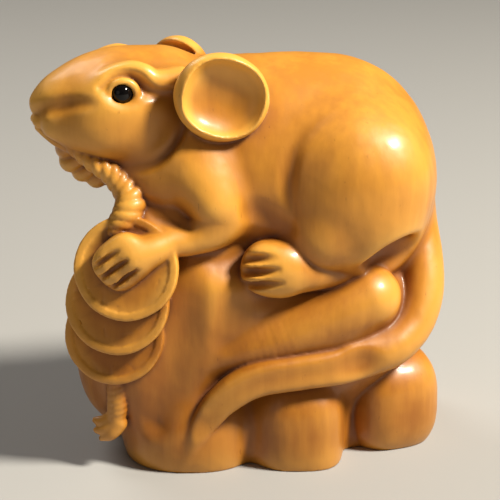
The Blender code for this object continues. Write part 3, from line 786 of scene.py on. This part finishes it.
class Wire:
    """A socket of a material, so that sums on it are written as plain sums."""

    def __init__(self, finish, socket):
        self.finish = finish
        self.socket = socket

    def maths(self, operation, *values):
        return self.finish.node("ShaderNodeMath", {"operation": operation}, dict(enumerate((self, *values))))

    def __add__(self, other):
        return self.maths("ADD", other)

    def __sub__(self, other):
        return self.maths("SUBTRACT", other)

    def __rsub__(self, other):
        return self.maths("MULTIPLY_ADD", -1.0, other)

    def __mul__(self, other):
        return self.maths("MULTIPLY", other)

    __radd__ = __add__
    __rmul__ = __mul__

    def clipped(self, low, high):
        """0 at low, 1 at high, and smooth between."""
        settings = {"interpolation_type": "SMOOTHSTEP"}
        values = {"Value": self, "From Min": low, "From Max": high}
        return self.finish.node("ShaderNodeMapRange", settings, values)


class Finish:
    """A node material on one Principled shader."""

    def __init__(self, name):
        self.material = bpy.data.materials.new(name)
        self.material.use_nodes = True
        self.tree = self.material.node_tree
        self.shader = self.tree.nodes["Principled BSDF"]

    def put(self, socket, value):
        if isinstance(value, Wire):
            self.tree.links.new(value.socket, socket)
        else:
            socket.default_value = value

    def node(self, kind, settings, values, output=0):
        made = self.tree.nodes.new(kind)
        for key, value in settings.items():
            setattr(made, key, value)
        for key, value in values.items():
            self.put(made.inputs[key], value)
        return Wire(self, made.outputs[output])

    def mix(self, amount, a, b):
        a, b = [colour if isinstance(colour, Wire) else (*colour, 1) for colour in (a, b)]
        return self.node("ShaderNodeMix", {"data_type": "RGBA"}, {0: amount, 6: a, 7: b}, 2)

    def noise(self, place, scale, detail=3.0, stretch=(1, 1, 1)):
        drawn = self.node("ShaderNodeMapping", {}, {"Vector": place, "Scale": stretch})
        return self.node("ShaderNodeTexNoise", {}, {"Vector": drawn, "Scale": scale, "Detail": detail})


boxwood = Finish("polished_boxwood")
place = boxwood.node("ShaderNodeTexCoord", {}, {}, "Object")
fine_hollow = boxwood.node("ShaderNodeAttribute", {"attribute_name": "fine_hollow"}, {}, "Fac")
broad_hollow = boxwood.node("ShaderNodeAttribute", {"attribute_name": "broad_hollow"}, {}, "Fac")
cloud = boxwood.noise(place, 140, 3)
grain = boxwood.noise(place, 900, 4, (1.0, 1.0, 0.12))
fleck = boxwood.noise(place, 2600, 2, (1.0, 1.0, 0.3))
tool = boxwood.noise(place, 1500, 2, (1.0, 1.0, 0.35))
height = boxwood.node("ShaderNodeSeparateXYZ", {}, {"Vector": place}, "Z")
# Painted shade: the wood is painted darker towards the base, where less light falls on it.
painted_low_shade = 1 - height.clipped(0.006, 0.033)
# The narrow grooves hold the stain that the wood keeps there, darkened further as painted shade.
deep = fine_hollow.clipped(0.49, 0.73)
# Painted shade: the broad hollows are painted darker, as if less light reaches into them.
shade = broad_hollow.clipped(0.43, 0.66)
crest = 1 - broad_hollow.clipped(0.32, 0.47)
tone = (cloud * 0.6 + grain * 0.4).clipped(0.38, 0.66)
colour = boxwood.mix(tone * 0.45 + painted_low_shade * 0.6, HONEY, AMBER)
colour = boxwood.mix(crest * (0.7 - painted_low_shade * 0.4), colour, RUBBED)
# The broad hollows get their painted shade, and after it the narrow grooves get stain with painted shade.
colour = boxwood.mix(shade * 0.9, colour, AMBER)
colour = boxwood.mix(deep * 0.85, colour, STAIN_AND_SHADE)
colour = boxwood.mix(fleck.clipped(0.70, 0.80) * 0.35, colour, STAIN_AND_SHADE)
boxwood.put(boxwood.shader.inputs["Base Color"], colour)
boxwood.put(boxwood.shader.inputs["Roughness"], 0.38 + grain * 0.18 + deep * 0.25)
boxwood.shader.inputs["Specular IOR Level"].default_value = 0.42
boxwood.shader.inputs["Coat Weight"].default_value = 0.22
boxwood.shader.inputs["Coat Roughness"].default_value = 0.2
relief = grain * 0.5 + tool * 0.5
bump = boxwood.node("ShaderNodeBump", {}, {"Strength": 0.3, "Distance": 0.0001, "Height": relief})
boxwood.put(boxwood.shader.inputs["Normal"], bump)

carving = bpy.data.objects.new("boxwood_carving", carving_mesh)
carving_mesh.materials.append(boxwood.material)
scene.collection.objects.link(carving)
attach(carving, "root")
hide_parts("carving")


# The eyes: two beads of black horn, rubbed to a high shine. Each is let into its round socket in the head
# and glued.
horn = Finish("black_horn")
horn_place = horn.node("ShaderNodeTexCoord", {}, {}, "Object")
streak = horn.noise(horn_place, 900, 2, (1.0, 1.0, 0.4))
horn_colour = horn.mix(streak.clipped(0.5, 0.7), (0.003, 0.0025, 0.0025), (0.008, 0.006, 0.005))
horn.put(horn.shader.inputs["Base Color"], horn_colour)
horn.put(horn.shader.inputs["Roughness"], 0.06 + streak * 0.04)
horn.shader.inputs["Specular IOR Level"].default_value = 0.25
for name, side in (("left_eye", 1), ("right_eye", -1)):
    bead_mesh = bpy.data.meshes.new(name + "_bead")
    shape = bmesh.new()
    bmesh.ops.create_icosphere(shape, subdivisions=4, radius=EYE_RADIUS / 1000)
    bmesh.ops.translate(shape, verts=shape.verts, vec=eye_middle(side) / 1000)
    shape.to_mesh(bead_mesh)
    shape.free()
    bead_mesh.shade_smooth()
    bead_mesh.materials.append(horn.material)
    bead = bpy.data.objects.new(name + "_bead", bead_mesh)
    scene.collection.objects.link(bead)
    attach(bead, "root")
    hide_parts(name)
